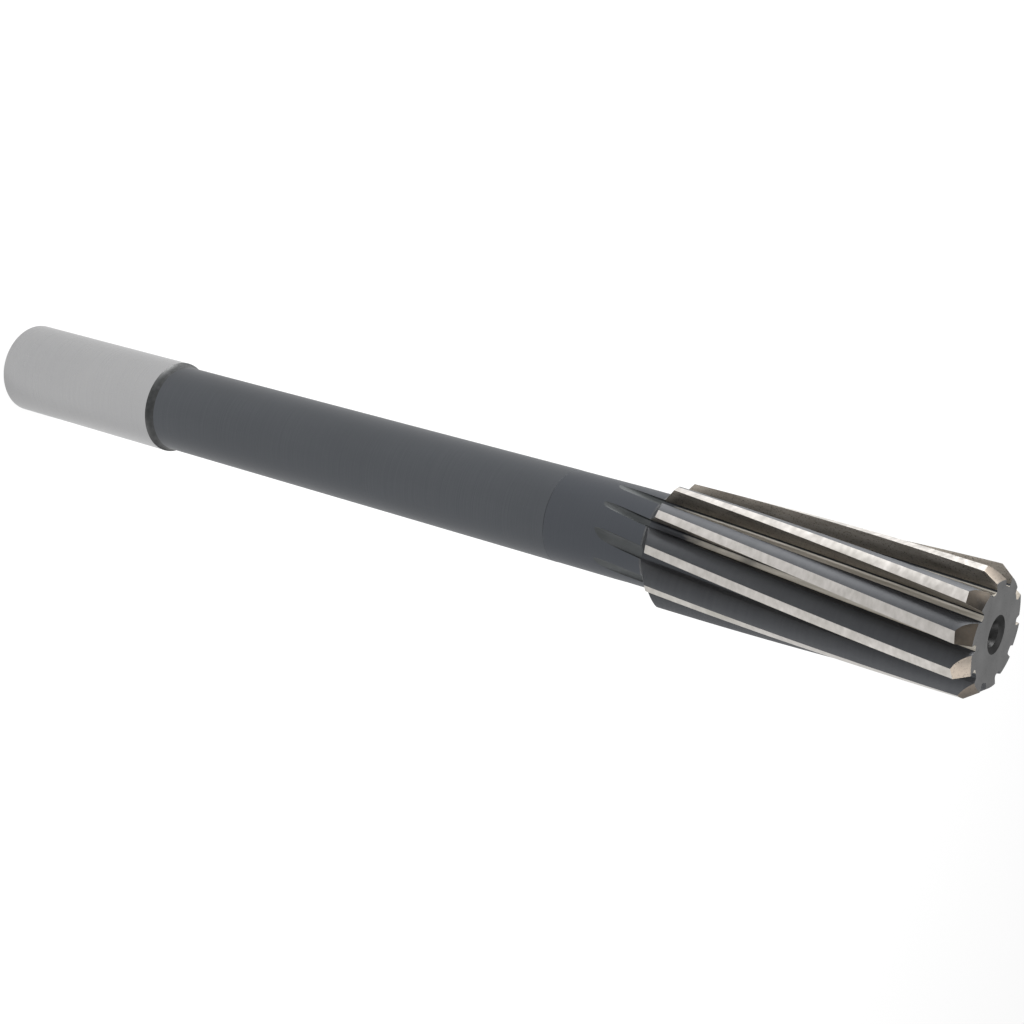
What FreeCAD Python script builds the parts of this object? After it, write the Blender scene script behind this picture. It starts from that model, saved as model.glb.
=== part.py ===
import FreeCAD, Part
import math
import os

os.makedirs("parts", exist_ok=True)

# Straight-shank machine reamer, standing on its shank end with +Z towards the cutting end.
# The origin is the centre of the shank's end face. All sizes are in millimetres.

# Overall sizes
overall_length = 266.7
cutting_diameter = 26.9875
shank_diameter = 22.212
shank_length = 50.8
neck_diameter = 20.6

# Shank end and the radiused shoulder down to the neck
shank_edge_chamfer = 0.4
shoulder_length = 2.0

# The cutting head: length of its margins, and the steep cone with a fillet behind them
margin_length = 71.3
back_cone_length = 2.6
back_fillet = 0.8

# Joint between the shank half and the cutting half: the neck is a hair smaller beyond it
joint_behind_margins = 27.3
joint_step = 0.04
joint_step_length = 0.12

# Teeth: the gaps are uneven and repeat after half a turn, so each tooth has an opposite one
tooth_gaps = [39.0, 37.5, 36.0, 34.5, 33.0]
flute_lead = 690.0
margin_width_front = 2.4
margin_width_back = 1.7

# Flute section square to the axis; depths go down from the cutting circle, distances go
# back from a cutting edge along that circle
rake_angle = 3.0
flute_depth = 4.0
root_corner_radius = 0.55
floor_corner_radius = 0.45
floor_end_distance = 5.95
back_foot_depth = 2.6
back_foot_distance = 5.55
back_middle_depth = 1.2
back_middle_distance = 4.3

# The wheel that makes the flutes stops behind the margins and rises out of the neck; it
# runs in a plane, tilted from the axis by its own angle
wheel_radius = 106.0
wheel_stop_behind_margins = 2.0
wheel_tilt = 8.0

# Bevel lead at the front, relieved behind each cutting edge
bevel_length = 2.7
bevel_depth = 2.0
bevel_relief_angle = 6.5

# Centre holes in both ends: a wide guard bevel, the 60 degree seat, and the pilot drilled past it
center_guard_diameter = 7.9
center_guard_angle = 120.0
center_seat_diameter = 5.4
center_seat_angle = 60.0
center_pilot_diameter = 2.5
center_pilot_length = 3.2
drill_point_angle = 118.0

# Places that follow from the sizes
cutting_radius = cutting_diameter / 2
shank_radius = shank_diameter / 2
neck_radius = neck_diameter / 2
front_neck_radius = neck_radius - joint_step
root_radius = cutting_radius - flute_depth
margin_start = overall_length - margin_length
back_cone_start = margin_start - back_cone_length
joint_height = margin_start - joint_behind_margins
wheel_stop = margin_start - wheel_stop_behind_margins
clear_radius = cutting_radius + 1.1


def at(x, y, z):
    return FreeCAD.Vector(x, y, z)


def turned_blank():
    """The bar turned to its steps, before fluting."""
    # The shoulder arc starts at the shank's edge and ends level with the neck
    drop = shank_radius - neck_radius
    shoulder_radius = (shoulder_length ** 2 + drop ** 2) / (2 * drop)
    shoulder_end = shank_length + shoulder_length
    half_turn = math.asin(shoulder_length / shoulder_radius) / 2
    shoulder_mid = at(neck_radius + shoulder_radius * (1 - math.cos(half_turn)), 0,
                      shoulder_end - shoulder_radius * math.sin(half_turn))
    # The fillet between the neck and the cone at the back of the head
    cone_angle = math.atan2(cutting_radius - front_neck_radius, margin_start - back_cone_start)
    fillet_reach = back_fillet * math.tan(cone_angle / 2)
    fillet_start = at(front_neck_radius, 0, back_cone_start - fillet_reach)
    fillet_end = at(front_neck_radius + fillet_reach * math.sin(cone_angle), 0,
                    back_cone_start + fillet_reach * math.cos(cone_angle))
    fillet_mid = at(front_neck_radius + back_fillet * (1 - math.cos(cone_angle / 2)), 0,
                    fillet_start.z + back_fillet * math.sin(cone_angle / 2))
    shank_edge = at(shank_radius, 0, shank_length)
    neck_start = at(neck_radius, 0, shoulder_end)
    edges = [
        Part.makeLine(at(0, 0, 0), at(shank_radius - shank_edge_chamfer, 0, 0)),
        Part.makeLine(at(shank_radius - shank_edge_chamfer, 0, 0), at(shank_radius, 0, shank_edge_chamfer)),
        Part.makeLine(at(shank_radius, 0, shank_edge_chamfer), shank_edge),
        Part.Arc(shank_edge, shoulder_mid, neck_start).toShape(),
        Part.makeLine(neck_start, at(neck_radius, 0, joint_height)),
        Part.makeLine(at(neck_radius, 0, joint_height), at(front_neck_radius, 0, joint_height + joint_step_length)),
        Part.makeLine(at(front_neck_radius, 0, joint_height + joint_step_length), fillet_start),
        Part.Arc(fillet_start, fillet_mid, fillet_end).toShape(),
        Part.makeLine(fillet_end, at(cutting_radius, 0, margin_start)),
        Part.makeLine(at(cutting_radius, 0, margin_start), at(cutting_radius, 0, overall_length)),
        Part.makeLine(at(cutting_radius, 0, overall_length), at(0, 0, overall_length)),
        Part.makeLine(at(0, 0, overall_length), at(0, 0, 0)),
    ]
    face = Part.Face(Part.Wire(edges))
    return face.revolve(at(0, 0, 0), at(0, 0, 1), 360)


def center_hole(end_height, inward):
    """Guard bevel, seat, pilot and drill point; inward is +1 or -1 along Z."""
    guard = center_guard_diameter / 2
    seat = center_seat_diameter / 2
    pilot = center_pilot_diameter / 2
    guard_slope = math.tan(math.radians(center_guard_angle / 2))
    seat_slope = math.tan(math.radians(center_seat_angle / 2))
    seat_start = (guard - seat) / guard_slope
    pilot_start = seat_start + (seat - pilot) / seat_slope
    pilot_end = pilot_start + center_pilot_length
    point_end = pilot_end + pilot / math.tan(math.radians(drill_point_angle / 2))
    profile = [
        (0, -1),
        (guard + guard_slope, -1),
        (seat, seat_start),
        (pilot, pilot_start),
        (pilot, pilot_end),
        (0, point_end),
        (0, -1),
    ]
    points = [at(r, 0, end_height + inward * depth) for r, depth in profile]
    return Part.Face(Part.makePolygon(points)).revolve(at(0, 0, 0), at(0, 0, 1), 360)


def rounded(corner, before, after, radius):
    """Start, middle and end of the arc that rounds a corner between two neighbours."""
    one = (before - corner).normalize()
    other = (after - corner).normalize()
    half_opening = one.getAngle(other) / 2
    reach = radius / math.tan(half_opening)
    to_middle = (one + other).normalize() * (radius / math.sin(half_opening) - radius)
    return corner + one * reach, corner + to_middle, corner + other * reach


def flute_section(gap, height, lift, turn):
    """Closed outline of the space ahead of a tooth whose edge is on +X; lift moves it outwards."""
    lean = math.tan(math.radians(rake_angle))
    share = (height - margin_start) / margin_length
    share = min(max(share, 0.0), 1.0)
    margin_width = margin_width_back + share * (margin_width_front - margin_width_back)

    def behind_next_edge(depth, distance):
        angle = gap - distance / cutting_radius
        return at((cutting_radius - depth) * math.cos(angle), (cutting_radius - depth) * math.sin(angle), 0)

    heel = behind_next_edge(0, margin_width)
    middle = behind_next_edge(back_middle_depth, back_middle_distance)
    foot = behind_next_edge(back_foot_depth, back_foot_distance)
    floor_end = at(root_radius, root_radius * math.tan(gap - floor_end_distance / cutting_radius), 0)
    root_corner = at(root_radius, (root_radius - cutting_radius) * lean, 0)
    rake_top = at(clear_radius, (clear_radius - cutting_radius) * lean, 0)
    rake_foot, root_mid, floor_start = rounded(root_corner, rake_top, floor_end, root_corner_radius)
    floor_stop, end_mid, wall_start = rounded(floor_end, root_corner, foot, floor_corner_radius)
    # Carry the back of the tooth on past the cutting circle, straight on from its arc
    back = Part.Arc(foot, middle, heel)
    onward = back.tangent(back.LastParameter)[0].normalize()
    back_top = heel + onward * (2.2 * (clear_radius - cutting_radius))
    top_middle = at(clear_radius * math.cos(gap / 2), clear_radius * math.sin(gap / 2), 0)
    section = Part.Wire([
        Part.makeLine(rake_top, rake_foot),
        Part.Arc(rake_foot, root_mid, floor_start).toShape(),
        Part.makeLine(floor_start, floor_stop),
        Part.Arc(floor_stop, end_mid, wall_start).toShape(),
        Part.makeLine(wall_start, foot),
        back.toShape(),
        Part.makeLine(heel, back_top),
        Part.Arc(back_top, top_middle, rake_top).toShape(),
    ])
    section.translate(at(lift, 0, height))
    section.rotate(at(0, 0, 0), at(0, 0, 1), turn)
    return section


def flute_cutout(gap):
    """The metal one flute takes away: a straight helical run, then the wheel's rise out of the neck."""
    front = overall_length + 1.5
    steps = 10
    sections = []
    for i in range(steps + 1):
        height = wheel_stop + (front - wheel_stop) * i / steps
        sections.append(flute_section(gap, height, 0, 360 * (height - overall_length) / flute_lead))
    main = Part.makeLoft(sections, True, False)
    # The wheel clears the neck once its rim has risen past it
    rise = max(neck_radius - root_radius, 0) + 0.5
    exit_length = math.sqrt(wheel_radius ** 2 - (wheel_radius - rise) ** 2)
    stop_turn = 360 * (wheel_stop - overall_length) / flute_lead
    steps = 6
    sections = []
    for i in range(steps + 1):
        back = exit_length * i / steps
        lift = wheel_radius - math.sqrt(wheel_radius ** 2 - back ** 2)
        drift = math.degrees(back * math.tan(math.radians(wheel_tilt)) / neck_radius)
        sections.append(flute_section(gap, wheel_stop - back, lift, stop_turn - drift))
    leaving = Part.makeLoft(sections, True, False)
    return main, leaving


def bevel_cutout(gap):
    """What the bevel grinding takes off one tooth, which reaches back from the edge on +X."""
    # The grinding axis sits off the tool's axis, so the bevel falls away behind the edge
    offset = cutting_radius * math.tan(math.radians(bevel_relief_angle))
    slope = bevel_depth / bevel_length
    base = math.hypot(cutting_radius, offset)
    over = 1.5
    under = 2.5
    height = overall_length - bevel_length
    profile = [
        at(base - slope * (bevel_length + over), 0, height + bevel_length + over),
        at(base + slope * under, 0, height - under),
        at(base + slope * under, 0, height + bevel_length + over),
    ]
    axis = at(0, offset, 0)
    face = Part.Face(Part.makePolygon(profile + [profile[0]]))
    face.translate(axis)
    start = math.degrees(math.atan2(-offset, cutting_radius)) + 2.0
    face.rotate(axis, at(0, 0, 1), start)
    sweep = math.degrees(gap) - 1.0
    return face.revolve(axis, at(0, 0, -1), sweep)


blank = turned_blank()
reamer = blank.cut([center_hole(0, 1), center_hole(overall_length, -1)])
print("blank", round(reamer.Volume, 2), reamer.isValid())

half_turn_share = math.pi / sum(tooth_gaps)
gaps = [gap * half_turn_share for gap in tooth_gaps] * 2
edge_turn = 0.0
for index, gap in enumerate(gaps):
    # This tooth's edge is edge_turn round from +X at the front face; the gap lies ahead of it
    before = gaps[index - 1]
    flute_parts = flute_cutout(gap)
    bevel = bevel_cutout(before)
    for piece in flute_parts:
        piece.rotate(at(0, 0, 0), at(0, 0, 1), math.degrees(edge_turn))
    bevel.rotate(at(0, 0, 0), at(0, 0, 1), math.degrees(edge_turn))
    reamer = reamer.cut(flute_parts[0])
    reamer = reamer.cut(flute_parts[1])
    reamer = reamer.cut(bevel)
    print("tooth", index + 1, round(reamer.Volume, 2), reamer.isValid(), len(reamer.Solids))
    edge_turn += gap

solid = reamer.Solids[0]
print("solids", len(reamer.Solids), "faces", len(solid.Faces), "valid", solid.isValid())
print("box", solid.BoundBox)
solid.exportStep("parts/reamer.step")
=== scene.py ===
import math
import bmesh
import bpy
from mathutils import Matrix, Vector


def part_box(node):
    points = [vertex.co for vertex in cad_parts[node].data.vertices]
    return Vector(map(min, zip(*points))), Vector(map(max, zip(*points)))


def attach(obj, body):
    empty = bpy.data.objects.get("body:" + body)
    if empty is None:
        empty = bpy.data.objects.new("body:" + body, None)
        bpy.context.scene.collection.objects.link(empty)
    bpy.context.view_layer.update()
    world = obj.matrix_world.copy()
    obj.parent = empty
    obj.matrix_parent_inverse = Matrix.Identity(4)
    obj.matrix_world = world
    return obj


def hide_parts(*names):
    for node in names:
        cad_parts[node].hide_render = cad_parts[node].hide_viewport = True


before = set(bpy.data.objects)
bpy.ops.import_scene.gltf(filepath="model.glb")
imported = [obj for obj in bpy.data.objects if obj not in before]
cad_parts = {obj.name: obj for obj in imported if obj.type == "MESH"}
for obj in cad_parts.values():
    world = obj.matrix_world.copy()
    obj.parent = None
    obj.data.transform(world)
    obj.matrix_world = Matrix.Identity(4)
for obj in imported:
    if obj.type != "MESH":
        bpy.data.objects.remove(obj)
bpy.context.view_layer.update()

mm = 0.001
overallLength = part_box("reamer")[1][2] / mm  # the reamer stands on its shank end, at height 0

tolerance = {
    "sameSize": 1e-9,        # share of a radius
    "barDoubles": 1e-7,      # metres
    "cutterDoubles": 1e-6,   # metres
    "sameHeight": 1e-6,      # metres
    "onEnd": 0.001,          # millimetres from an end face
    "flatNormal": 0.999,
}


# general helpers

def deselectAll():
    for thing in bpy.context.selected_objects:
        thing.select_set(False)


def makeActive(thing):
    deselectAll()
    thing.select_set(True)
    bpy.context.view_layer.objects.active = thing


def editMode():
    bpy.ops.object.mode_set(mode="EDIT")


def objectMode():
    bpy.ops.object.mode_set(mode="OBJECT")


def selectWhere(thing, kind, wanted):
    # kind is "faces" or "edges"
    mesh = bmesh.from_edit_mesh(thing.data)
    parts = getattr(mesh, kind)
    for part in parts:
        part.select_set(False)
    for part in parts:
        if wanted(part):
            part.select_set(True)
    bmesh.update_edit_mesh(thing.data)


def mergeDoubles(distance):
    bpy.ops.mesh.select_all(action="SELECT")
    bpy.ops.mesh.remove_doubles(threshold=distance)


def closeShape():
    # every face points outwards, and edit mode ends
    bpy.ops.mesh.select_all(action="SELECT")
    bpy.ops.mesh.normals_make_consistent(inside=False)
    objectMode()


def applyPlace(thing):
    makeActive(thing)
    bpy.ops.object.transform_apply(location=True, rotation=True, scale=True)


def extrudeBy(x, y, z):
    bpy.ops.mesh.extrude_region_move(TRANSFORM_OT_translate={"value": (x, y, z)})


def turnedCopy(thing, angle):
    copy = thing.copy()
    copy.data = thing.data.copy()
    bpy.context.collection.objects.link(copy)
    copy.rotation_euler = (0, 0, angle)
    applyPlace(copy)
    return copy


def subtract(thing, cutter):
    makeActive(thing)
    cut = thing.modifiers.new("cut", "BOOLEAN")
    cut.operation = "DIFFERENCE"
    cut.solver = "EXACT"
    cut.object = cutter
    bpy.ops.object.modifier_apply(modifier="cut")
    bpy.data.objects.remove(cutter, do_unlink=True)


# nodes

def addNode(tree, kind, **sockets):
    made = tree.nodes.new(kind)
    for name, value in sockets.items():
        made.inputs[name].default_value = value
    return made


def join(tree, source, target):
    tree.links.new(source, target)


def feed(tree, target, value):
    # a socket is linked, a plain value is set
    if isinstance(value, bpy.types.NodeSocket):
        join(tree, value, target)
    else:
        target.default_value = value


def place(tree, scale):
    coordinates = tree.nodes.new("ShaderNodeTexCoord")
    mapping = addNode(tree, "ShaderNodeMapping", Scale=scale)
    join(tree, coordinates.outputs["Object"], mapping.inputs["Vector"])
    return mapping.outputs["Vector"]


def attribute(tree, name):
    reader = tree.nodes.new("ShaderNodeAttribute")
    reader.attribute_name = name
    return reader.outputs["Fac"]


def height(tree):
    # millimetres from the shank end
    split = tree.nodes.new("ShaderNodeSeparateXYZ")
    join(tree, place(tree, (1 / mm, 1 / mm, 1 / mm)), split.inputs[0])
    return split.outputs["Z"]


def noise(tree, marks, detail, uneven=0.5):
    # marks: how many to the metre along x, y and z
    made = addNode(tree, "ShaderNodeTexNoise", Scale=1.0, Detail=detail, Roughness=uneven)
    join(tree, place(tree, marks), made.inputs["Vector"])
    return made.outputs["Fac"]


def calculate(tree, what, one, other):
    made = tree.nodes.new("ShaderNodeMath")
    made.operation = what
    feed(tree, made.inputs[0], one)
    feed(tree, made.inputs[1], other)
    return made.outputs[0]


def fade(tree, value, low, high, outLow=0.0, outHigh=1.0):
    made = addNode(tree, "ShaderNodeMapRange")
    made.clamp = True
    feed(tree, made.inputs["Value"], value)
    feed(tree, made.inputs["From Min"], low)
    feed(tree, made.inputs["From Max"], high)
    feed(tree, made.inputs["To Min"], outLow)
    feed(tree, made.inputs["To Max"], outHigh)
    return made.outputs["Result"]


def blend(tree, share, one, other):
    made = tree.nodes.new("ShaderNodeMix")
    made.data_type = "RGBA"
    feed(tree, made.inputs["Factor"], share)
    feed(tree, made.inputs[6], one)
    feed(tree, made.inputs[7], other)
    return made.outputs[2]


def bump(tree, shader, value, depth):
    # depth in millimetres
    made = addNode(tree, "ShaderNodeBump", Strength=1.0, Distance=depth * mm)
    join(tree, value, made.inputs["Height"])
    join(tree, made.outputs["Normal"], shader.inputs["Normal"])


def brushAround(tree, shader, amount):
    # the gloss is stretched across marks that run round the axis
    shader.inputs["Anisotropic"].default_value = amount
    tangent = tree.nodes.new("ShaderNodeTangent")
    tangent.direction_type = "RADIAL"
    tangent.axis = "Z"
    join(tree, tangent.outputs[0], shader.inputs["Tangent"])


# the finishes, each a material slot on every shape, in this order
# grain and spots: marks to the metre along x, y and z, then detail and unevenness
# grainFade and spotFade: where the colour starts and ends its change, then the least and most share
# a roughness of two values follows the grain, and raised says which pattern lifts the surface

finishes = {
    "groundShank": {
        "grain": ((30, 30, 12000), 4.0, 0.6),
        "dark": (0.34, 0.34, 0.345, 1),
        "light": (0.385, 0.385, 0.385, 1),
        "spots": ((60, 60, 25), 3.0),
        "spotFade": (0.35, 0.7, 0.0, 0.25),
        "spotColor": (0.28, 0.28, 0.29, 1),
        "metallic": 1.0,
        "roughness": (0.26, 0.34),
        "brushed": 0.85,
        "raised": "grain",
        "depth": 0.0005,
    },
    # near-black, far darker than the neck's oxide: the shade of the shoulder's concave face is
    # painted into its colour
    "shoulderScale": {
        "grain": ((900, 900, 900), 4.0),
        "grainFade": (0.3, 0.75),
        "dark": (0.008, 0.009, 0.009, 1),
        "light": (0.022, 0.023, 0.024, 1),
        "metallic": 0.0,
        "roughness": 0.5,
        "refraction": 1.4,
        "raised": "grain",
        "depth": 0.01,
    },
    "neckOxide": {
        "grain": ((30, 30, 11000), 4.0, 0.6),
        "dark": (0.074, 0.079, 0.087, 1),
        "light": (0.096, 0.101, 0.109, 1),
        "spots": ((90, 90, 30), 4.0),
        "spotFade": (0.4, 0.75, 0.0, 0.4),
        "spotColor": (0.07, 0.074, 0.08, 1),
        "beyondJoint": (0.055, 0.06, 0.072, 1),
        "beyondShare": 0.35,
        "jointBlur": 0.3,
        "metallic": 1.0,
        "roughness": (0.34, 0.46),
        "brushed": 0.8,
        "raised": "grain",
        "depth": 0.0006,
    },
    "runOut": {
        "grain": ((400, 400, 150), 4.0),
        "dark": (0.056, 0.060, 0.061, 1),
        "light": (0.086, 0.090, 0.092, 1),
        "metallic": 0.9,
        "roughness": 0.45,
        "raised": "grain",
        "depth": 0.004,
    },
    "headCone": {
        "grain": ((500, 500, 900), 4.0),
        "dark": (0.05, 0.052, 0.055, 1),
        "light": (0.11, 0.112, 0.115, 1),
        "metallic": 0.9,
        "roughness": 0.42,
        "raised": "grain",
        "depth": 0.004,
    },
    "margin": {
        "grain": ((500, 500, 900), 4.0),
        "dark": (0.42, 0.40, 0.375, 1),
        "light": (0.56, 0.535, 0.51, 1),
        "spots": ((120, 120, 60), 4.0),
        "spotFade": (0.5, 0.75, 0.0, 0.5),
        "spotColor": (0.33, 0.32, 0.28, 1),
        "metallic": 1.0,
        "roughness": (0.3, 0.42),
        "raised": "grain",
        "depth": 0.002,
    },
    "landOxide": {
        "grain": ((60, 60, 1500), 3.0),
        "dark": (0.027, 0.029, 0.033, 1),
        "light": (0.032, 0.034, 0.038, 1),
        "spots": ((300, 300, 120), 4.0),
        "spotFade": (0.5, 0.8, 0.0, 0.5),
        "spotColor": (0.042, 0.044, 0.047, 1),
        "metallic": 0.25,
        "roughness": 0.55,
        "raised": "grain",
        "depth": 0.0004,
    },
    "rakeFace": {
        "grain": ((700, 700, 60), 4.0),
        "dark": (0.22, 0.195, 0.165, 1),
        "light": (0.38, 0.345, 0.30, 1),
        "spots": ((4000, 4000, 2500), 3.0),
        "spotFade": (0.56, 0.70, 0.0, 0.7),
        "spotColor": (0.03, 0.03, 0.03, 1),
        "metallic": 0.9,
        "roughness": 0.4,
        "raised": "grain",
        "depth": 0.003,
    },
    "fluteFloor": {
        "grain": ((900, 900, 40), 4.0),
        "dark": (0.034, 0.037, 0.042, 1),
        "light": (0.046, 0.049, 0.054, 1),
        "stripDark": (0.30, 0.28, 0.24, 1),
        "stripLight": (0.48, 0.45, 0.40, 1),
        "stripEdge": (1.7, 1.6),        # ahead of the cutting edge, in millimetres
        "stripStart": (200.0, 214.0),   # heights from the shank end
        "stripRagged": ((150, 150, 90), 5.0),
        "raggedReach": 14.0,
        "metallic": 0.7,
        "roughness": 0.38,
        "raised": "grain",
        "depth": 0.003,
    },
    "bevelFace": {
        "grain": ((220, 220, 220), 4.0),
        "grainFade": (0.38, 0.62),
        "dark": (0.21, 0.18, 0.15, 1),
        "light": (0.155, 0.135, 0.115, 1),
        "darkerBevelDark": (0.040, 0.033, 0.026, 1),
        "darkerBevelLight": (0.014, 0.012, 0.010, 1),
        "firstDarker": (6.4, 6.6),       # the bevels in gaps 7 and 8, counted from 0
        "lastDarker": (8.6, 8.4),
        "spots": ((3500, 3500, 3500), 3.0),
        "spotFade": (0.58, 0.7, 0.0, 0.7),
        "spotColor": (0.03, 0.03, 0.03, 1),
        "metallic": 0.9,
        "roughness": 0.45,
        "raised": "spots",
        "depth": 0.003,
    },
    "frontFace": {
        "grain": ((200, 200, 200), 4.0),
        "dark": (0.074, 0.074, 0.074, 1),
        "light": (0.096, 0.096, 0.096, 1),
        "spots": ((2600, 2600, 2600), 3.0),
        "spotFade": (0.6, 0.72, 0.0, 0.5),
        "spotColor": (0.03, 0.03, 0.03, 1),
        "metallic": 0.6,
        "roughness": 0.6,
        "raised": "spots",
        "depth": 0.006,
    },
    # near-black: the shade deep inside the centre hole is painted into its colour
    "centerHole": {
        "grain": ((300, 300, 1500), 3.0),
        "dark": (0.005, 0.005, 0.005, 1),
        "light": (0.016, 0.016, 0.016, 1),
        "metallic": 0.8,
        "roughness": 0.5,
    },
}

finishNames = list(finishes)
usualFade = (0.3, 0.7)


def grainColor(tree, look, grain, dark, light):
    share = fade(tree, grain, *look.get("grainFade", usualFade))
    return blend(tree, share, look[dark], look[light])


def tintBeyondJoint(tree, look, grain, color):
    joint = bar["jointHeight"]
    beyond = fade(tree, height(tree), joint, joint + look["jointBlur"])
    share = calculate(tree, "MULTIPLY", beyond, look["beyondShare"])
    return blend(tree, share, color, look["beyondJoint"])


def brightenFloorStrip(tree, look, grain, color):
    # the ground strip beside the rake, with a ragged start
    reach = look["raggedReach"]
    ragged = fade(tree, noise(tree, *look["stripRagged"]), *usualFade, -reach, reach)
    started = fade(tree, calculate(tree, "ADD", height(tree), ragged), *look["stripStart"])
    strip = fade(tree, attribute(tree, "aheadOfEdge"), *look["stripEdge"])
    ground = calculate(tree, "MULTIPLY", started, strip)
    return blend(tree, ground, color, grainColor(tree, look, grain, "stripDark", "stripLight"))


# the bevels in gaps 7 and 8 are given a darker, browner colour than the other bevels
def darkenTwoBevels(tree, look, grain, color):
    gap = attribute(tree, "gapNumber")
    first = fade(tree, gap, *look["firstDarker"])
    last = fade(tree, gap, *look["lastDarker"])
    darker = calculate(tree, "MULTIPLY", first, last)
    return blend(tree, darker, color, grainColor(tree, look, grain, "darkerBevelDark", "darkerBevelLight"))


underSpots = {"fluteFloor": brightenFloorStrip, "bevelFace": darkenTwoBevels}
overSpots = {"neckOxide": tintBeyondJoint}


def makeFinish(name):
    look = finishes[name]
    material = bpy.data.materials.new(name)
    material.use_nodes = True
    tree = material.node_tree
    shader = tree.nodes["Principled BSDF"]
    patterns = {"grain": noise(tree, *look["grain"])}
    color = grainColor(tree, look, patterns["grain"], "dark", "light")
    if name in underSpots:
        color = underSpots[name](tree, look, patterns["grain"], color)
    if "spots" in look:
        patterns["spots"] = noise(tree, *look["spots"])
        share = fade(tree, patterns["spots"], *look["spotFade"])
        color = blend(tree, share, color, look["spotColor"])
    if name in overSpots:
        color = overSpots[name](tree, look, patterns["grain"], color)
    feed(tree, shader.inputs["Base Color"], color)
    shader.inputs["Metallic"].default_value = look["metallic"]
    roughness = look["roughness"]
    if isinstance(roughness, tuple):
        roughness = fade(tree, patterns["grain"], *usualFade, *roughness)
    feed(tree, shader.inputs["Roughness"], roughness)
    if "refraction" in look:
        shader.inputs["IOR"].default_value = look["refraction"]
    if "brushed" in look:
        brushAround(tree, shader, look["brushed"])
    if "raised" in look:
        bump(tree, shader, patterns[look["raised"]], look["depth"])


def makeFinishes():
    for name in finishNames:
        makeFinish(name)


def giveFinishes(thing, finishOf):
    # every shape carries the same list, so a cut face keeps its cutter's finish
    for name in finishNames:
        thing.data.materials.append(bpy.data.materials[name])
    for face in thing.data.polygons:
        face.material_index = finishNames.index(finishOf(face))


# the turned bar: sizes in millimetres, heights from the shank end, angles in degrees

bar = {
    "segments": 360,
    "shankRadius": 11.106,
    "shankLength": 50.8,
    "shankRings": 12,
    "edgeChamfer": 0.4,
    "shoulderLength": 2.0,
    "shoulderSteps": 10,
    "neckRadius": 10.3,
    "neckRings": 24,
    "frontNeckRadius": 10.26,
    "frontNeckRings": 6,
    "jointHeight": 168.1,
    "jointLength": 0.12,
    "filletRadius": 0.8,
    "filletSteps": 8,
    "coneStart": 192.8,
    "coneFinishBelow": 0.4,   # how far below the cone its finish starts
    "marginStart": 195.4,
    "cuttingRadius": 13.49375,
    "headRings": 36,
    "guardRadius": 3.95,
    "guardAngle": 60.0,       # from the axis, as the next two
    "seatRadius": 2.7,
    "seatAngle": 30.0,
    "pilotRadius": 1.25,
    "pilotLength": 3.2,
    "drillAngle": 59.0,
    "holeReach": 12.0,        # a centre hole lies within this of its end
    "crispAngle": 14.0,       # a sharper edge isn't smoothed
}


def evenHeights(low, high, parts):
    # from one step above low up to high
    return [low + (high - low) * step / parts for step in range(1, parts + 1)]


def barRings():
    # radius and height of each ring from the shank chamfer up to the front face
    drop = bar["shankRadius"] - bar["neckRadius"]
    shoulderRadius = (bar["shoulderLength"] ** 2 + drop ** 2) / (2 * drop)
    shoulderTop = bar["shankLength"] + bar["shoulderLength"]
    shoulderTurn = math.asin(bar["shoulderLength"] / shoulderRadius)
    frontNeck = bar["jointHeight"] + bar["jointLength"]
    coneTurn = math.atan2(bar["cuttingRadius"] - bar["frontNeckRadius"],
                          bar["marginStart"] - bar["coneStart"])
    filletStart = bar["coneStart"] - bar["filletRadius"] * math.tan(coneTurn / 2)
    rings = []
    for level in evenHeights(bar["edgeChamfer"], bar["shankLength"], bar["shankRings"]):
        rings.append((bar["shankRadius"], level))
    for step in range(1, bar["shoulderSteps"] + 1):
        angle = shoulderTurn * (1 - step / bar["shoulderSteps"])
        radius = bar["neckRadius"] + shoulderRadius * (1 - math.cos(angle))
        rings.append((radius, shoulderTop - shoulderRadius * math.sin(angle)))
    for level in evenHeights(shoulderTop, bar["jointHeight"], bar["neckRings"]):
        rings.append((bar["neckRadius"], level))
    rings.append((bar["frontNeckRadius"], frontNeck))
    for level in evenHeights(frontNeck, filletStart, bar["frontNeckRings"]):
        rings.append((bar["frontNeckRadius"], level))
    for step in range(1, bar["filletSteps"] + 1):
        angle = coneTurn * step / bar["filletSteps"]
        radius = bar["frontNeckRadius"] + bar["filletRadius"] * (1 - math.cos(angle))
        rings.append((radius, filletStart + bar["filletRadius"] * math.sin(angle)))
    rings.append((bar["cuttingRadius"], bar["marginStart"]))
    for level in evenHeights(bar["marginStart"], overallLength, bar["headRings"]):
        rings.append((bar["cuttingRadius"], level))
    return rings


def pullRing(fromRing, toRing):
    # one step of the turned shape: extrude the selected end face and size it
    extrudeBy(0, 0, (toRing[1] - fromRing[1]) * mm)
    size = toRing[0] / fromRing[0]
    if abs(size - 1) > tolerance["sameSize"]:
        bpy.ops.transform.resize(value=(size, size, 1), center_override=(0, 0, toRing[1] * mm))


def coneDepth(wide, narrow, angle):
    # how long a cone is between two radii, its angle taken from the axis
    return (wide - narrow) / math.tan(math.radians(angle))


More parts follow.
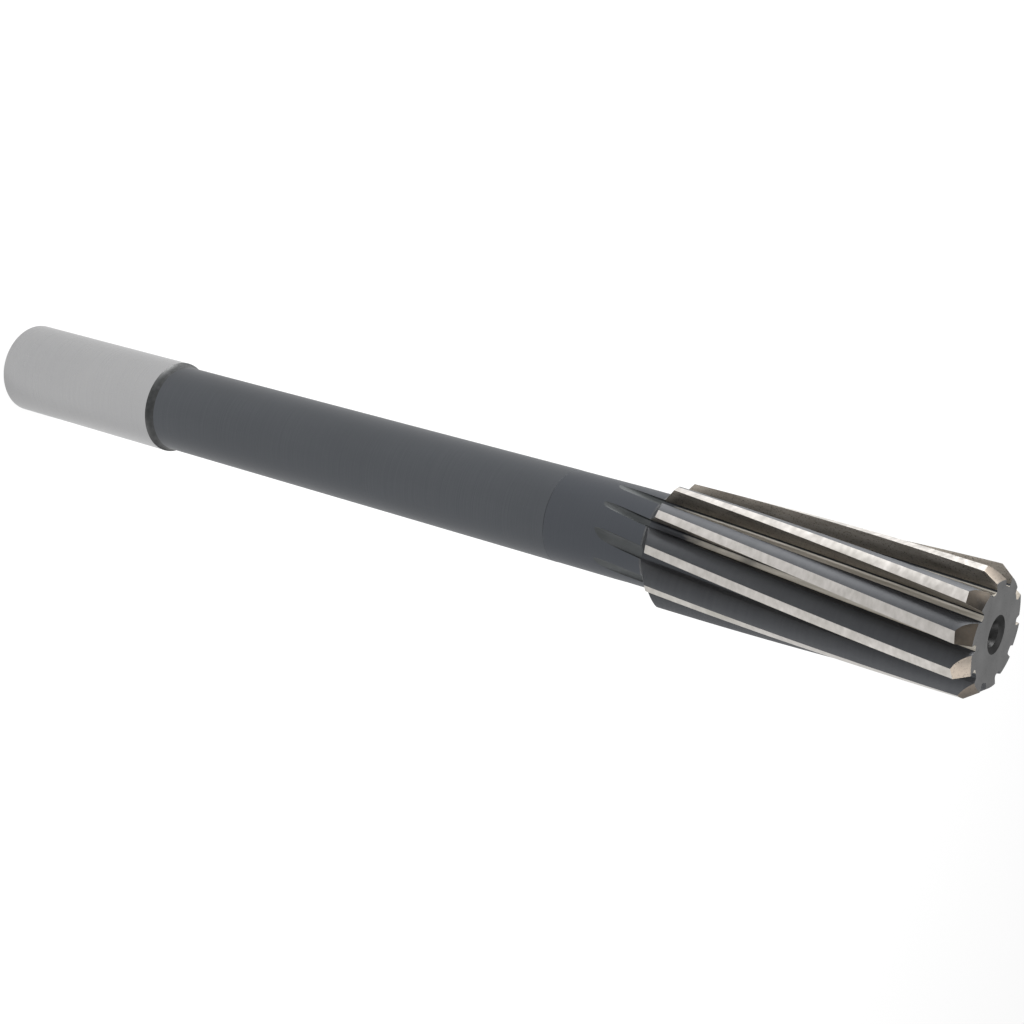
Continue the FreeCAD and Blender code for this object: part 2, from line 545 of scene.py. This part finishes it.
def sinkCenterHole(rimRadius, endHeight, inward):
    guardDepth = coneDepth(bar["guardRadius"], bar["seatRadius"], bar["guardAngle"])
    seatDepth = guardDepth + coneDepth(bar["seatRadius"], bar["pilotRadius"], bar["seatAngle"])
    pilotDepth = seatDepth + bar["pilotLength"]
    tipDepth = pilotDepth + coneDepth(bar["pilotRadius"], 0, bar["drillAngle"])
    here = (rimRadius, endHeight)
    steps = [(bar["guardRadius"], 0.0), (bar["seatRadius"], guardDepth)]
    steps += [(bar["pilotRadius"], seatDepth), (bar["pilotRadius"], pilotDepth)]
    for radius, depth in steps:
        there = (radius, endHeight + inward * depth)
        pullRing(here, there)
        here = there
    extrudeBy(0, 0, inward * (tipDepth - pilotDepth) * mm)
    bpy.ops.mesh.merge(type="CENTER")


def isTopFace(face):
    return face.normal.z > tolerance["flatNormal"]


def isShankEnd(face):
    atBottom = face.calc_center_median().z < tolerance["onEnd"] * mm
    return atBottom and face.normal.z < -tolerance["flatNormal"]


def makeBar():
    depth = bar["edgeChamfer"] * mm
    bpy.ops.mesh.primitive_cylinder_add(vertices=bar["segments"], radius=bar["shankRadius"] * mm,
                                        depth=depth, location=(0, 0, depth / 2),
                                        end_fill_type="NGON")
    body = bpy.context.object
    body.name = "reamerBody"
    applyPlace(body)
    editMode()
    bpy.ops.mesh.select_mode(type="FACE")
    selectWhere(body, "faces", isTopFace)
    here = (bar["shankRadius"], bar["edgeChamfer"])
    for there in barRings():
        pullRing(here, there)
        here = there
    sinkCenterHole(bar["cuttingRadius"], overallLength, -1)
    selectWhere(body, "faces", isShankEnd)
    rim = bar["shankRadius"] - bar["edgeChamfer"]
    size = rim / bar["shankRadius"]
    bpy.ops.transform.resize(value=(size, size, 1), center_override=(0, 0, 0))
    sinkCenterHole(rim, 0.0, 1)
    mergeDoubles(tolerance["barDoubles"])
    closeShape()
    return body


def barFinish(face):
    radius = math.hypot(face.center.x, face.center.y) / mm
    level = face.center.z / mm
    onShankEnd = abs(face.normal.z) > tolerance["flatNormal"] and level < tolerance["onEnd"]
    nearEnd = min(level, overallLength - level) < bar["holeReach"]
    # faces in the centre hole take the near-black finish that paints in its shade
    if radius < bar["guardRadius"] and nearEnd and not onShankEnd:
        return "centerHole"
    if level < bar["shankLength"]:
        return "groundShank"
    # the shoulder takes the near-black finish with its shade painted in
    if level < bar["shankLength"] + bar["shoulderLength"]:
        return "shoulderScale"
    if level > overallLength - tolerance["onEnd"]:
        return "frontFace"
    if level > bar["marginStart"]:
        return "margin"
    if level > bar["coneStart"] - bar["coneFinishBelow"]:
        return "headCone"
    return "neckOxide"


# the flutes: one cutter for each width of gap, in millimetres and degrees

flute = {
    "gaps": [39.0, 37.5, 36.0, 34.5, 33.0],  # between cutting edges, repeated after half a turn
    "lead": 690.0,
    "rakeAngle": 3.0,
    "rootRadius": 9.49375,
    "clearRadius": 14.59375,  # outside the bar, where the cutter closes
    "rootCorner": 0.55,
    "floorCorner": 0.45,
    "floorEnd": 5.95,         # distances back from the next cutting edge, along the cutting circle
    "footBack": 5.55,
    "footRadius": 10.89375,
    "middleBack": 4.3,
    "middleRadius": 12.29375,
    "marginBack": 1.7,
    "marginFront": 2.4,
    "backRun": 2.42,          # how far the back's side of the cutter goes on past the bar
    "frontRun": 1.5,          # how far the cutter goes on past the front face
    "rakeParts": 3,
    "rootParts": 10,
    "floorParts": 4,
    "cornerParts": 6,
    "backParts": 14,
    "topParts": 8,
    "rakeDepth": 3.4,         # where the finishes meet, measured in from the cutting circle
    "floorDepth": 2.0,
    "rakeAcross": 0.01,
    "lengthCuts": 80,
    "wheelRadius": 106.0,
    "wheelStop": 193.4,
    "wheelTilt": 8.0,
    "wheelRise": 1.3,
    "wheelSteps": 24,
}


def helixTurn(length):
    # how far the helix turns over this length, in radians
    return 2 * math.pi * length / flute["lead"]


def onCircle(radius, angle):
    return Vector((radius * math.cos(angle), radius * math.sin(angle)))


def circleCenter(a, b, c):
    # centre of the circle through three places
    ab = b - a
    ac = c - a
    turn = 2 * (ab.x * ac.y - ab.y * ac.x)
    x = (ac.y * ab.length_squared - ab.y * ac.length_squared) / turn
    y = (ab.x * ac.length_squared - ac.x * ab.length_squared) / turn
    return a + Vector((x, y))


def roundCorner(corner, before, after, radius):
    # where a rounding starts, its centre, and where it ends
    one = (before - corner).normalized()
    other = (after - corner).normalized()
    half = one.angle(other) / 2
    reach = radius / math.tan(half)
    center = corner + (one + other).normalized() * (radius / math.sin(half))
    return corner + one * reach, center, corner + other * reach


def startOutline(start, level):
    bpy.ops.mesh.primitive_plane_add(size=mm, location=(start.x * mm, start.y * mm, level * mm))
    if bpy.context.mode != "EDIT_MESH":
        applyPlace(bpy.context.object)
        editMode()
    bpy.ops.mesh.select_mode(type="VERT")
    bpy.ops.mesh.merge(type="CENTER")


def lineTo(here, there, parts=1):
    step = (there - here) / parts
    for part in range(parts):
        extrudeBy(step.x * mm, step.y * mm, 0)


def arcTo(here, there, center, level, parts):
    one = here - center
    other = there - center
    turn = math.atan2(one.x * other.y - one.y * other.x, one.dot(other))
    middle = (center.x * mm, center.y * mm, level * mm)
    bpy.ops.mesh.spin(steps=parts, angle=-turn, center=middle, axis=(0, 0, 1))


def drawSection(gap, marginWidth, level):
    # outline of one flute square to the axis; its tooth's cutting edge lies on +X
    cutting = bar["cuttingRadius"]
    lean = math.tan(math.radians(flute["rakeAngle"]))
    root = flute["rootRadius"]
    clear = flute["clearRadius"]
    heel = onCircle(cutting, gap - marginWidth / cutting)
    middle = onCircle(flute["middleRadius"], gap - flute["middleBack"] / cutting)
    foot = onCircle(flute["footRadius"], gap - flute["footBack"] / cutting)
    floorEnd = Vector((root, root * math.tan(gap - flute["floorEnd"] / cutting)))
    rootPlace = Vector((root, (root - cutting) * lean))
    rakeTop = Vector((clear, (clear - cutting) * lean))
    cuttingEdge = Vector((cutting, 0))
    rakeFoot, rootCenter, floorStart = roundCorner(rootPlace, rakeTop, floorEnd,
                                                   flute["rootCorner"])
    floorStop, endCenter, wallStart = roundCorner(floorEnd, rootPlace, foot,
                                                  flute["floorCorner"])
    backCenter = circleCenter(foot, middle, heel)
    radial = heel - backCenter
    onward = Vector((-radial.y, radial.x)).normalized()
    if onward.dot(heel - middle) < 0:
        onward.negate()
    backTop = heel + onward * flute["backRun"]
    topMiddle = onCircle(clear, gap / 2)
    topCenter = circleCenter(backTop, topMiddle, rakeTop)
    startOutline(rakeTop, level)
    lineTo(rakeTop, cuttingEdge)
    lineTo(cuttingEdge, rakeFoot, flute["rakeParts"])
    arcTo(rakeFoot, floorStart, rootCenter, level, flute["rootParts"])
    lineTo(floorStart, floorStop, flute["floorParts"])
    arcTo(floorStop, wallStart, endCenter, level, flute["cornerParts"])
    lineTo(wallStart, foot)
    arcTo(foot, heel, backCenter, level, flute["backParts"])
    lineTo(heel, backTop)
    arcTo(backTop, rakeTop, topCenter, level, flute["topParts"])


def sectionFinish(face, gap):
    # before the twist, so the rake lies near the plane through the axis and +X
    across = math.atan2(face.center.y, face.center.x) * bar["cuttingRadius"]
    depth = bar["cuttingRadius"] - math.hypot(face.center.x, face.center.y) / mm
    if across < flute["rakeAcross"] and depth < flute["rakeDepth"]:
        return "rakeFace"
    if across < gap * bar["cuttingRadius"] - flute["floorEnd"] and depth > flute["floorDepth"]:
        return "fluteFloor"
    return "landOxide"


def isAtHeight(spot, level):
    return abs(spot.z - level * mm) < tolerance["sameHeight"]


def twistCutter(cutter, length):
    # the modifier turns each height by its own share, counted from height 0
    twist = cutter.modifiers.new("helix", "SIMPLE_DEFORM")
    twist.deform_method = "TWIST"
    twist.deform_axis = "Z"
    twist.angle = helixTurn(length)
    bpy.ops.object.modifier_apply(modifier="helix")


def addRunOut(cutter):
    # the wheel leaves the neck along its own arc, a little across the axis
    editMode()
    bpy.ops.mesh.select_mode(type="FACE")
    selectWhere(cutter, "faces",
                lambda face: isAtHeight(face.calc_center_median(), flute["wheelStop"]))
    wheel = flute["wheelRadius"]
    exitLength = math.sqrt(wheel ** 2 - (wheel - flute["wheelRise"]) ** 2)
    stepLength = exitLength / flute["wheelSteps"]
    drift = stepLength * math.tan(math.radians(flute["wheelTilt"])) / bar["neckRadius"]
    turn = helixTurn(flute["wheelStop"])
    lift = 0.0
    for step in range(1, flute["wheelSteps"] + 1):
        back = exitLength * step / flute["wheelSteps"]
        newLift = wheel - math.sqrt(wheel ** 2 - back ** 2)
        outward = onCircle((newLift - lift) * mm, turn)
        extrudeBy(outward.x, outward.y, -stepLength * mm)
        bpy.ops.transform.rotate(value=drift, orient_axis="Z", center_override=(0, 0, 0))
        turn -= drift
        lift = newLift
    closeShape()


def makeFluteCutter(gapDegrees):
    gap = math.radians(gapDegrees)
    front = overallLength + flute["frontRun"]
    stop = flute["wheelStop"]
    growth = (flute["marginFront"] - flute["marginBack"]) / (overallLength - bar["marginStart"])
    deselectAll()
    drawSection(gap, flute["marginFront"] + growth * flute["frontRun"], front)
    cutter = bpy.context.object
    drawSection(gap, flute["marginBack"], stop)
    mergeDoubles(tolerance["cutterDoubles"])
    bpy.ops.mesh.select_mode(type="EDGE")
    bpy.ops.mesh.select_all(action="SELECT")
    bpy.ops.mesh.bridge_edge_loops(number_cuts=flute["lengthCuts"], interpolation="LINEAR")
    for level in (front, stop):
        selectWhere(cutter, "edges",
                    lambda edge: all(isAtHeight(end.co, level) for end in edge.verts))
        bpy.ops.mesh.edge_face_add()
    objectMode()
    giveFinishes(cutter, lambda face: sectionFinish(face, gap))
    twistCutter(cutter, front - stop)
    addRunOut(cutter)
    for face in cutter.data.polygons:
        if face.center.z < (bar["coneStart"] - bar["coneFinishBelow"]) * mm:
            face.material_index = finishNames.index("runOut")
    return cutter


def cutEveryTooth(body, makeCutter, start):
    # the gaps repeat after half a turn, so each cutter is used twice
    across = 0.0
    for index, gap in enumerate(flute["gaps"]):
        cutter = makeCutter(index)
        for half in (0.0, math.pi):
            subtract(body, turnedCopy(cutter, start + math.radians(across) + half))
        bpy.data.objects.remove(cutter, do_unlink=True)
        across += gap


def cutFlutes(body):
    # the cutters are twisted from height 0, so they start turned back by the whole length's helix
    cutEveryTooth(body, lambda index: makeFluteCutter(flute["gaps"][index]),
                  -helixTurn(overallLength))


# the bevelled front of each tooth, in millimetres and degrees

bevel = {
    "length": 2.7,
    "depth": 2.0,
    "relief": 6.5,
    "ahead": 2.0,      # the cutter starts this much ahead of the cutting edge
    "shortOf": 1.0,    # and turns this much less than the gap
    "below": 2.5,      # how far it reaches below the bevel
    "frontRun": 1.5,   # and past the front face
    "steps": 24,
}


def makeBevelCutter(gapDegrees):
    # a triangle spun about the grinding axis, which sits off the tool's axis
    cutting = bar["cuttingRadius"]
    offset = cutting * math.tan(math.radians(bevel["relief"]))
    slope = bevel["depth"] / bevel["length"]
    base = math.hypot(cutting, offset)
    start = math.atan2(-offset, cutting) + math.radians(bevel["ahead"])
    foot = overallLength - bevel["length"]
    top = overallLength + bevel["frontRun"]
    wide = base + slope * bevel["below"]
    low = (wide, foot - bevel["below"])
    high = (wide, top)
    tip = (base - slope * (bevel["length"] + bevel["frontRun"]), top)
    deselectAll()
    startOutline(Vector((0, offset)) + onCircle(low[0], start), low[1])
    for here, there in ((low, high), (high, tip)):
        across = onCircle(there[0] - here[0], start)
        extrudeBy(across.x * mm, across.y * mm, (there[1] - here[1]) * mm)
    bpy.ops.mesh.select_all(action="SELECT")
    bpy.ops.mesh.edge_face_add()
    bpy.ops.mesh.select_mode(type="FACE")
    sweep = math.radians(gapDegrees - bevel["shortOf"])
    bpy.ops.mesh.spin(steps=bevel["steps"], angle=sweep, center=(0, offset * mm, 0),
                      axis=(0, 0, 1))
    closeShape()
    giveFinishes(bpy.context.object, lambda face: "bevelFace")
    return bpy.context.object


def cutBevels(body):
    # a bevel runs back from its cutting edge, over the gap behind that edge
    cutEveryTooth(body, lambda index: makeBevelCutter(flute["gaps"][index - 1]), 0.0)


def untwisted(spot):
    # degrees round the axis, with the helix taken out
    turned = helixTurn(spot.z / mm - overallLength)
    return math.degrees(math.atan2(spot.y, spot.x) - turned)


def storeGapPlaces(body):
    # the gap that each face lies in, counted from 0 at the edge on +X in the front face,
    # and how far each corner is ahead of the cutting edge where that gap starts, in millimetres
    mesh = body.data
    ahead = mesh.attributes.new("aheadOfEdge", "FLOAT", "CORNER")
    number = mesh.attributes.new("gapNumber", "FLOAT", "FACE")
    perDegree = math.radians(1) * bar["cuttingRadius"]
    aheadValues = [0.0] * len(mesh.loops)
    numberValues = [0.0] * len(mesh.polygons)
    for face in mesh.polygons:
        middle = untwisted(face.center) % 360
        half = middle // 180
        start = 180 * half
        for index, gap in enumerate(flute["gaps"]):
            if middle < start + gap:
                break
            start += gap
        numberValues[face.index] = index + len(flute["gaps"]) * half
        for corner in face.loop_indices:
            angle = untwisted(mesh.vertices[mesh.loops[corner].vertex_index].co)
            angle = middle + (angle - middle + 180) % 360 - 180
            aheadValues[corner] = (angle - start) * perDegree
    ahead.data.foreach_set("value", aheadValues)
    number.data.foreach_set("value", numberValues)


def makeReamer():
    body = makeBar()
    giveFinishes(body, barFinish)
    print("bar turned")
    cutBevels(body)
    print("bevels cut")
    cutFlutes(body)
    print("flutes cut")
    storeGapPlaces(body)
    makeActive(body)
    bpy.ops.object.shade_smooth_by_angle(angle=math.radians(bar["crispAngle"]))
    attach(body, "root")
    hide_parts("reamer")


# the studio: a plain floor, soft lamps and the camera, in metres

studio = {
    "floorSize": 4.0,
    "floorColor": (0.85, 0.85, 0.85, 1),
    "floorRoughness": 0.9,
    "floorGlow": 0.85,
    "white": (1, 1, 1, 1),
    "worldStrength": 0.32,
    "lamps": [
        # name, place, size, power
        ("keyLamp", (-0.62, -0.48, 0.42), 0.35, 22.0),
        ("sideLamp", (0.75, 0.35, 0.55), 0.6, 8.0),
        ("topLamp", (0.1, -0.1, 1.1), 0.8, 10.0),
    ],
    "aim": (0, 0, 0.13),
}


def makeFloorFinish():
    # to the camera and in reflections mostly a pale glow, with a share of lit floor for the shadow
    material = bpy.data.materials.new("paleFloor")
    material.use_nodes = True
    tree = material.node_tree
    shader = tree.nodes["Principled BSDF"]
    shader.inputs["Base Color"].default_value = studio["floorColor"]
    shader.inputs["Roughness"].default_value = studio["floorRoughness"]
    shader.inputs["Specular IOR Level"].default_value = 0.0
    glow = addNode(tree, "ShaderNodeEmission", Color=studio["white"], Strength=1.0)
    light = tree.nodes.new("ShaderNodeLightPath")
    seen = calculate(tree, "MAXIMUM", light.outputs["Is Camera Ray"],
                     light.outputs["Is Glossy Ray"])
    seen = calculate(tree, "MAXIMUM", seen, light.outputs["Is Transmission Ray"])
    seen = calculate(tree, "MULTIPLY", seen, studio["floorGlow"])
    mix = tree.nodes.new("ShaderNodeMixShader")
    join(tree, seen, mix.inputs[0])
    join(tree, shader.outputs[0], mix.inputs[1])
    join(tree, glow.outputs[0], mix.inputs[2])
    join(tree, mix.outputs[0], tree.nodes["Material Output"].inputs["Surface"])
    return material


def makeFloor():
    deselectAll()
    bpy.ops.mesh.primitive_plane_add(size=studio["floorSize"], location=(0, 0, 0))
    floor = bpy.context.object
    floor.name = "floor"
    floor.data.materials.append(makeFloorFinish())


def makeLamps():
    for name, spot, size, power in studio["lamps"]:
        deselectAll()
        direction = Vector(studio["aim"]) - Vector(spot)
        turn = direction.to_track_quat("-Z", "Y").to_euler()
        bpy.ops.object.light_add(type="AREA", location=spot, rotation=turn)
        lamp = bpy.context.object
        lamp.name = name
        lamp.data.size = size
        lamp.data.energy = power
        lamp.visible_camera = False


def makeWorld():
    world = bpy.data.worlds.new("studioWorld")
    bpy.context.scene.world = world
    world.use_nodes = True
    background = world.node_tree.nodes["Background"]
    background.inputs["Color"].default_value = studio["white"]
    background.inputs["Strength"].default_value = studio["worldStrength"]


viewpoint = {
    "place": (0.245305, -0.299581, 0.402263),   # metres
    "turn": (-22.89081, -54.07497, 156.47833),  # degrees
    "lens": 73.556,                             # millimetres, as the sensor
    "sensor": 36.0,
    "nearest": 0.01,
}


def makeCamera():
    turn = [math.radians(angle) for angle in viewpoint["turn"]]
    bpy.ops.object.camera_add(location=viewpoint["place"], rotation=turn)
    camera = bpy.context.object
    camera.name = "camera"
    camera.data.sensor_width = viewpoint["sensor"]
    camera.data.lens = viewpoint["lens"]
    camera.data.clip_start = viewpoint["nearest"]
    bpy.context.scene.camera = camera


makeCamera()
makeFinishes()
print("finishes ready")
makeReamer()
makeFloor()
makeLamps()
makeWorld()
print("studio ready")
bpy.context.scene.view_settings.view_transform = "Standard"
